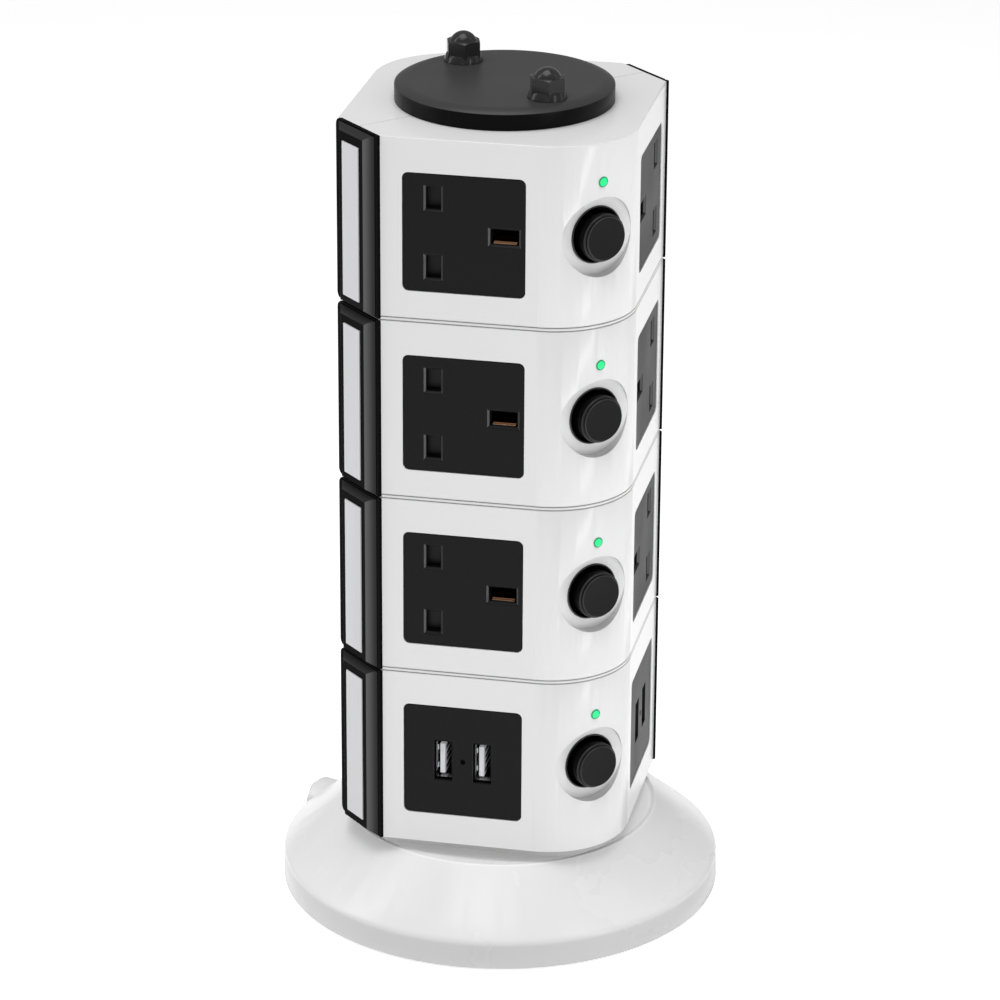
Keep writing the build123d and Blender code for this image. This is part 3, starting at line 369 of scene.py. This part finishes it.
materials = {
    "casing_white": plastic(
        "casing_white", (0.77, 0.77, 0.77), 0.2, 0.45,
        grain=1500, grain_depth=0.04, mottle=0.004, painted_shading=painted_seam_shade,
    ),
    "base_white": plastic(
        "base_white", (0.85, 0.85, 0.85), 0.25, 0.4,
        grain=1500, grain_depth=0.04, mottle=0.004, painted_shading=painted_base_light_and_shade,
    ),
    "face_plate_black": plastic(
        "face_plate_black", BLACK, 0.42, 0.12,
        grain=2200, grain_depth=0.25, mottle=0.1, painted_shading=glossy_chamfers_painted_sheen,
    ),
    "end_cover_black": plastic(
        "end_cover_black", (0.004, 0.004, 0.0042), 0.3, 0.008,
        grain_depth=0.05, mottle=0.1, painted_shading=painted_sheen_on_slopes,
    ),
    "insert_grey": plastic("insert_grey", (0.59, 0.59, 0.6), 0.4, 0.3, grain_depth=0.08, mottle=0.02),
    "button_black": plastic(
        "button_black", (0.006, 0.006, 0.0062), 0.28, 0.12,
        grain_depth=0.12, mottle=0.1, painted_shading=painted_barrel_shade_and_highlight,
    ),
    "bezel_black": plastic("bezel_black", (0.003, 0.003, 0.0031), 0.2, 0.5, grain_depth=0.03, mottle=0.1),
    "shutter_black": plastic("shutter_black", BLACK, 0.45, 0.2, grain_depth=0.1, mottle=0.1),
    "inner_black": plastic("inner_black", (0.02, 0.02, 0.02), 0.5, 0.3, mottle=0.1),
    "contact_copper": metal(
        "contact_copper", (0.72, 0.45, 0.29), 0.32, (1, 1, 0.1),
        painted_shading=painted_shade_inside,
    ),
    "usb_metal": metal(
        "usb_metal", (0.75, 0.75, 0.76), 0.25, (1, 1, 0.08),
        streak=0.08, painted_shading=painted_shade_rim_and_throat,
    ),
    "usb_tongue_white": plastic("usb_tongue_white", (0.78, 0.8, 0.83), 0.35, 0.4, mottle=0.02),
    "board_green": plastic("board_green", (0.02, 0.16, 0.07), 0.3, 0.5, grain=700, mottle=0.15),
    "top_plate_black": plastic(
        "top_plate_black", (0.038, 0.038, 0.039), 0.36, 0.3,
        grain=2200, grain_depth=0.06, mottle=0.06, painted_shading=matt_and_painted_dark_side,
    ),
    "steel": metal("steel", (0.55, 0.55, 0.56), 0.35, scale=1200),
    "nut_black": plastic(
        "nut_black", (0.026, 0.026, 0.0265), 0.2, 0.25,
        grain=900, grain_depth=0.04, mottle=0.1,
    ),
    # This grey is also on the tower's bottom plate, where it is painted shade for the gap under the tower.
    "base_plate_grey": plastic("base_plate_grey", (0.42, 0.42, 0.42), 0.5, 0.3, mottle=0.06),
    "rubber_black": plastic(
        "rubber_black", (0.017, 0.017, 0.017), 0.7, 0.3,
        grain=1100, grain_depth=0.3, mottle=0.15,
    ),
}


def lens_material():
    """Lit green lens: bright dome, darker collar."""
    shader = Shader("lens_green")
    collar = shader.node("ShaderNodeAttribute", attribute_name="collar")
    cloud = shader.noise(900, 2)
    lit = shader.blend(shader.spread(cloud, 0, 1), (0.0, 0.62, 0.17), (0.005, 0.74, 0.22))
    shade = shader.blend(collar.outputs["Fac"], lit, (0.0, 0.2, 0.08))
    shader.link(shade, shader.bsdf.inputs["Base Color"])
    shader.link(shade, shader.bsdf.inputs["Emission Color"])
    shader.set(Roughness=0.15, Emission_Strength=0.55)
    return shader.material


materials["lens_green"] = lens_material()

for part in frame["record"]["subparts"]:
    mesh = nodes[part["node"]].data
    mesh.materials.clear()
    mesh.materials.append(materials[part["material_slot"]])


# ---------------------------------------------------------------- softened edges on the CAD nodes
def soften(name, width, segments=2, angle=35):
    """Weld the node's mesh and round its sharp edges, as a mould leaves them."""
    thing = nodes[name]
    weld = thing.modifiers.new("weld", "WELD")
    weld.merge_threshold = 0.004 * MM
    flat = thing.modifiers.new("flat", "DECIMATE")
    flat.decimate_type = "DISSOLVE"
    flat.angle_limit = radians(0.3)
    bevel = thing.modifiers.new("bevel", "BEVEL")
    bevel.width = width
    bevel.segments = segments
    bevel.limit_method = "ANGLE"
    bevel.angle_limit = radians(angle)
    bevel.harden_normals = True


# ---------------------------------------------------------------- mesh helpers
def piece(name, mesh, slot, body, replaced=(), smooth_under=32):
    """Wrap a bmesh as an object: sharp edges marked, a material, a body, and the CAD nodes it replaces
    hidden.
    """
    bmesh.ops.remove_doubles(mesh, verts=mesh.verts, dist=1e-7)
    bmesh.ops.recalc_face_normals(mesh, faces=mesh.faces)
    for edge in mesh.edges:
        edge.smooth = len(edge.link_faces) == 2 and edge.calc_face_angle(pi) < radians(smooth_under)
    for face in mesh.faces:
        face.smooth = True
    data = bpy.data.meshes.new(name)
    mesh.to_mesh(data)
    mesh.free()
    data.materials.append(materials[slot])
    thing = bpy.data.objects.new(name, data)
    scene.collection.objects.link(thing)
    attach(thing, body)
    if replaced:
        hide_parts(*replaced)
    return thing


def rounded_path(points, steps=5):
    """Polyline from (x, y, radius) points, each corner replaced by an arc."""
    path = []
    for index, (x, y, radius) in enumerate(points):
        here = Vector((x, y))
        if radius == 0 or index in (0, len(points) - 1):
            path.append(here)
            continue
        before = (Vector(points[index - 1][:2]) - here).normalized()
        after = (Vector(points[index + 1][:2]) - here).normalized()
        half = before.angle(after) / 2
        reach = radius / tan(half)
        middle = here + (before + after).normalized() * (radius / sin(half))
        start, end = here + before * reach - middle, here + after * reach - middle
        turn = start.angle_signed(end)
        path += [middle + Matrix.Rotation(-turn * step / steps, 2) @ start for step in range(steps + 1)]
    return path


def lathe(mesh, profile, place, segments=96):
    """Add a surface of revolution about the local Z of a matrix, from (radius, height) points."""
    rings = []
    for radius, height in profile:
        if radius < 1e-9:
            rings.append([mesh.verts.new(place @ Vector((0, 0, height)))])
            continue
        turns = [2 * pi * step / segments for step in range(segments)]
        points = [Vector((radius * cos(turn), radius * sin(turn), height)) for turn in turns]
        rings.append([mesh.verts.new(place @ point) for point in points])
    for low, high in zip(rings, rings[1:]):
        for step in range(segments):
            after = (step + 1) % segments
            corners = [low[step % len(low)], low[after % len(low)]]
            corners += [high[after % len(high)], high[step % len(high)]]
            corners = list(dict.fromkeys(corners))
            if len(corners) > 2:
                mesh.faces.new(corners)


def corner_place(height):
    """Frame on the button corner: x across, y up, z outwards, from the tower axis."""
    return Matrix.Translation(UP * height) @ Matrix((ACROSS, UP, CORNER)).transposed().to_4x4()


def arc_section(length, width, radius, steps=4):
    """Rounded rectangle as a closed list of points, length along x and width along y."""
    points = []
    for quarter, (side_x, side_y) in enumerate(((1, 1), (-1, 1), (-1, -1), (1, -1))):
        centre = Vector((side_x * (length / 2 - radius), side_y * (width / 2 - radius)))
        for step in range(steps + 1):
            turn = (quarter + step / steps) * pi / 2
            points.append(centre + Vector((cos(turn), sin(turn))) * radius)
    return points


def skin(mesh, rings, place, close_ends=(False, False)):
    """Join closed rings of equal length, each a list of 3-D points, in a frame."""
    made = [[mesh.verts.new(place @ Vector(point)) for point in ring] for ring in rings]
    count = len(made[0])
    for low, high in zip(made, made[1:]):
        for step in range(count):
            after = (step + 1) % count
            mesh.faces.new((low[step], low[after], high[after], high[step]))
    if close_ends[0]:
        mesh.faces.new(list(reversed(made[0])))
    if close_ends[1]:
        mesh.faces.new(made[-1])


def block(mesh, place, low, high, radius, steps=2):
    """Box with rounded upright edges and a bevelled front, from a low to a high corner."""
    size = [b - a for a, b in zip(low, high)]
    middle = Vector(((low[0] + high[0]) / 2, (low[1] + high[1]) / 2))
    rings = []
    bevel = ((0, low[2]), (0, high[2] - radius), (radius * 0.3, high[2] - radius * 0.3), (radius, high[2]))
    for inset, level in bevel:
        rounding = max(radius - inset, radius * 0.2)
        outline = arc_section(size[0] - 2 * inset, size[1] - 2 * inset, rounding, steps)
        rings.append([(*(point + middle), level) for point in outline])
    skin(mesh, rings, place, (True, True))


def face_place(turn, height):
    """Frame on a tower face, its turn about Z in degrees: x right, y up, z outwards."""
    upright = Matrix((Vector((1, 0, 0)), UP, Vector((0, -1, 0)))).transposed().to_4x4()
    return Matrix.Rotation(radians(turn), 4, "Z") @ Matrix.Translation((0, -HALF_WIDTH, height)) @ upright


def millimetres(points):
    """Points given in millimetres, as metres."""
    return [tuple(value * MM for value in point) for point in points]


# ---------------------------------------------------------------- push buttons and their bezels
BUTTON_PROFILE = (
    (0, 36.8, 0), (3, 36.8, 0.3), (3, 48.8, 0), (7.6, 48.8, 0.3), (7.6, 55.5, 0.35), (7.05, 55.65, 0.12),
    (6.95, 56.7, 0.5), (5.6, 56.6, 3), (0, 56.35, 0),
)
BEZEL_PROFILE = (
    (7.9, 45.5, 0), (8.5, 45.5, 0), (8.5, 51.1, 0), (9.2, 51.1, 0.1), (9.2, 51.6, 0.22), (8.75, 51.6, 0.15),
    (8.1, 50.5, 0.2), (7.9, 49.6, 0), (7.9, 45.5, 0),
)
for tier, height in enumerate(FACE_CENTRES, 1):
    mesh = bmesh.new()
    lathe(mesh, rounded_path(millimetres(BUTTON_PROFILE)), corner_place(height))
    piece(f"push_button_{tier}", mesh, "button_black", f"button_{tier}", [f"button_{tier}"])

mesh = bmesh.new()
for height in FACE_CENTRES:
    lathe(mesh, rounded_path(millimetres(BEZEL_PROFILE)), corner_place(height))
piece("button_bezel_rings", mesh, "bezel_black", "tower", ["button_bezels"])

# ---------------------------------------------------------------- indicator lenses
LENS_PROFILE = (
    (0, -2.9, 0), (1.68, -2.9, 0), (1.68, 0.12, 0.08), (1.4, 0.12, 0.05), (1.3, 0.22, 0.1), (0, 0.34, 0),
)
COLLAR = 1.27 * MM           # radius where the dark collar starts
mesh = bmesh.new()
for height in FACE_CENTRES:
    place = corner_place(height + LENS_RISE) @ Matrix.Translation((0, 0, CORNER_REACH))
    lathe(mesh, rounded_path(millimetres(LENS_PROFILE)), place, 40)
lenses = piece("indicator_lens_set", mesh, "lens_green", "tower", ["indicator_lenses"])
collar = lenses.data.attributes.new("collar", "FLOAT", "POINT")
lens_centres = [UP * (height + LENS_RISE) for height in FACE_CENTRES]
for index, vertex in enumerate(lenses.data.vertices):
    flattened = vertex.co - CORNER * vertex.co.dot(CORNER)
    reach = min((flattened - centre).length for centre in lens_centres)
    collar.data[index].value = 1.0 if reach > COLLAR else 0.0

# ---------------------------------------------------------------- USB sockets
# Millimetres, in a frame on the face: inset or reach from the socket's middle, then depth below the face.
SHELL_SIZE = (5.6, 13.3)
SHELL_DEPTH = 14
SHELL_OUTSIDE = ((0, -SHELL_DEPTH), (0, -1.4), (0.08, -1.25), (0.2, -1.2))
SHELL_INSIDE = ((0.3, -1.25), (0.38, -1.45), (0.38, -SHELL_DEPTH))
SPRING_LINE = ((2.42, -8.6), (2.2, -7.0), (1.95, -5.2), (1.95, -4.6), (2.3, -3.4))
SPRING_SECTION = ((0, -0.9), (0, 0.9), (-0.18, 0.9), (-0.18, -0.9))
SPRING_HEIGHTS = (-3.1, 3.1)
TONGUE = ((-1.4, -5.3, -SHELL_DEPTH), (0.4, 5.3, -1.9))
PINS = ((-3.5, -2.5), (-1.0, -3.5), (1.0, -3.5), (3.5, -2.5))     # height and front end of each contact
PIN_WIDTH, PIN_BACK = 1.0, -12
PIN_LEVELS = (0.35, 0.5)                                          # bottom and top of a contact on the tongue


def shell_ring(inset, depth, radius):
    """Rounded rectangle of a USB shell, set in from its outside."""
    length, width = ((side - 2 * inset) * MM for side in SHELL_SIZE)
    return [(*point, depth * MM) for point in arc_section(length, width, radius * MM)]


def usb_spring(edge, along):
    """Rings of one spring of a shell, on the left (-1) or right (1) wall at a height."""
    return [
        millimetres((edge * (reach + thick), along + wide, depth) for thick, wide in SPRING_SECTION)
        for reach, depth in SPRING_LINE
    ]


usb_places = [
    face_place(turn, FACE_CENTRES[0]) @ Matrix.Translation((step * USB_PITCH - side * PLATE_SHIFT, 0, 0))
    for turn, side in ((0, 1), (90, -1))
    for step in (-0.5, 0.5)
]
shells, tongues, contacts = bmesh.new(), bmesh.new(), bmesh.new()
for place in usb_places:
    outside = [shell_ring(inset, depth, 0.7) for inset, depth in SHELL_OUTSIDE]
    inside = [shell_ring(inset, depth, 0.45) for inset, depth in SHELL_INSIDE]
    skin(shells, outside + inside, place)
    for edge in (-1, 1):
        for along in SPRING_HEIGHTS:
            skin(shells, usb_spring(edge, along), place, (True, True))
    block(tongues, place, *millimetres(TONGUE), 0.35 * MM)
    for height, front in PINS:
        low = (PIN_LEVELS[0], height - PIN_WIDTH / 2, PIN_BACK)
        high = (PIN_LEVELS[1], height + PIN_WIDTH / 2, front)
        block(contacts, place, *millimetres((low, high)), 0.07 * MM)
piece("usb_socket_shells", shells, "usb_metal", "tower", ["usb_shells"], 25)
piece("usb_socket_tongues", tongues, "usb_tongue_white", "tower", ["usb_tongues"])
piece("usb_socket_contacts", contacts, "contact_copper", "tower")

# ---------------------------------------------------------------- underside: feet and screws
FOOT_CIRCLE, SCREW_CIRCLE = 55 * MM, 62 * MM
FIRST_SCREW = radians(30)    # turn about Z
FOOT_PROFILE = ((0, 1.0, 0), (6, 1.0, 0), (6, 0, 0.35), (4.3, 0, 0.15), (4.0, 0.3, 0.2), (0, 0.3, 0))
mesh = bmesh.new()
for quarter in range(4):
    place = Matrix.Rotation(quarter * pi / 2, 4, "Z") @ Matrix.Translation((FOOT_CIRCLE, 0, 0))
    lathe(mesh, rounded_path(millimetres(FOOT_PROFILE)), place, 64)
piece("foot_pads", mesh, "rubber_black", "base", ["rubber_feet"])

SCREW_PROFILE = (
    (0, 1.15, 0), (0.4, 1.15, 0), (0.8, 1.1, 0), (1.2, 1.05, 0), (1.6, 1.0, 0), (2.0, 1.02, 0), (2.4, 1.1, 0),
    (2.95, 1.4, 0.1), (2.95, 2.4, 0), (1.5, 2.4, 0), (1.5, 11.0, 0), (0, 11.0, 0),
)
HEAD_FACE = 1.3 * MM                         # below this height a point belongs to the head's face
CROSS_HALF_WIDTH, CROSS_REACH, CROSS_DEPTH = 0.42 * MM, 1.7 * MM, 0.8 * MM
mesh = bmesh.new()
for quarter in range(4):
    turn = FIRST_SCREW + quarter * pi / 2
    place = Matrix.Translation((SCREW_CIRCLE * cos(turn), SCREW_CIRCLE * sin(turn), 0))
    before = len(mesh.verts)
    lathe(mesh, rounded_path(millimetres(SCREW_PROFILE), 3), place, 64)
    mesh.verts.ensure_lookup_table()
    for vertex in mesh.verts[before:]:
        x, y, z = place.inverted() @ vertex.co
        in_cross = min(abs(x), abs(y)) < CROSS_HALF_WIDTH and max(abs(x), abs(y)) < CROSS_REACH
        if z < HEAD_FACE and in_cross:
            vertex.co.z += CROSS_DEPTH
piece("base_screw_set", mesh, "steel", "base", ["base_screws"])

# ---------------------------------------------------------------- bush in the cord outlet
OUTLET_TURN = radians(158.5)  # about Z
OUTLET_HEIGHT = 6.8 * MM
BUSH_PROFILE = (
    (3.9, 67, 0), (5.3, 67, 0.2), (5.3, 75, 0), (5.0, 75.4, 0.15), (4.2, 75.4, 0.15), (3.9, 75, 0.1),
    (3.9, 67, 0),
)
outlet = Vector((cos(OUTLET_TURN), sin(OUTLET_TURN), 0))
outlet_axes = Matrix((UP.cross(outlet), UP, outlet)).transposed().to_4x4()
mesh = bmesh.new()
place = Matrix.Translation(UP * OUTLET_HEIGHT) @ outlet_axes
lathe(mesh, rounded_path(millimetres(BUSH_PROFILE)), place, 72)
piece("outlet_bush", mesh, "rubber_black", "base", ["cord_outlet_bush"])

# ---------------------------------------------------------------- edge widths of the CAD nodes
TIER_EDGES = {"front_shell": 0.06, "rear_shell": 0.06, "face_plates": 0.18, "end_covers": 0.18}
OTHER_EDGES = {
    "end_cover_inserts": 0.2, "dome_nuts": 0.22, "top_plate": 0.25, "tower_bottom_plate": 0.3,
    "base_cover": 0.25,
}
for kind, width in TIER_EDGES.items():
    for tier in range(1, TIERS + 1):
        soften(f"tier_{tier}_{kind}", width * MM)
for name, width in OTHER_EDGES.items():
    soften(name, width * MM)


# ---------------------------------------------------------------- floor
def floor_material():
    shader = Shader("floor_pale")
    grain = shader.noise(240, 3)
    base = shader.blend(grain, (0.93, 0.93, 0.93), (0.95, 0.95, 0.95))
    shader.link(base, shader.bsdf.inputs["Base Color"])
    shader.link(base, shader.bsdf.inputs["Emission Color"])
    shader.set(Roughness=0.8, Specular_IOR_Level=0.1, Emission_Strength=0.5)
    return shader.material


FLOOR = 6.0                  # half the floor's width
floor_mesh = bmesh.new()
bmesh.ops.create_grid(floor_mesh, x_segments=8, y_segments=8, size=FLOOR)
floor_data = bpy.data.meshes.new("floor")
floor_mesh.to_mesh(floor_data)
floor_mesh.free()
floor_data.materials.append(floor_material())
floor = bpy.data.objects.new("floor", floor_data)
scene.collection.objects.link(floor)
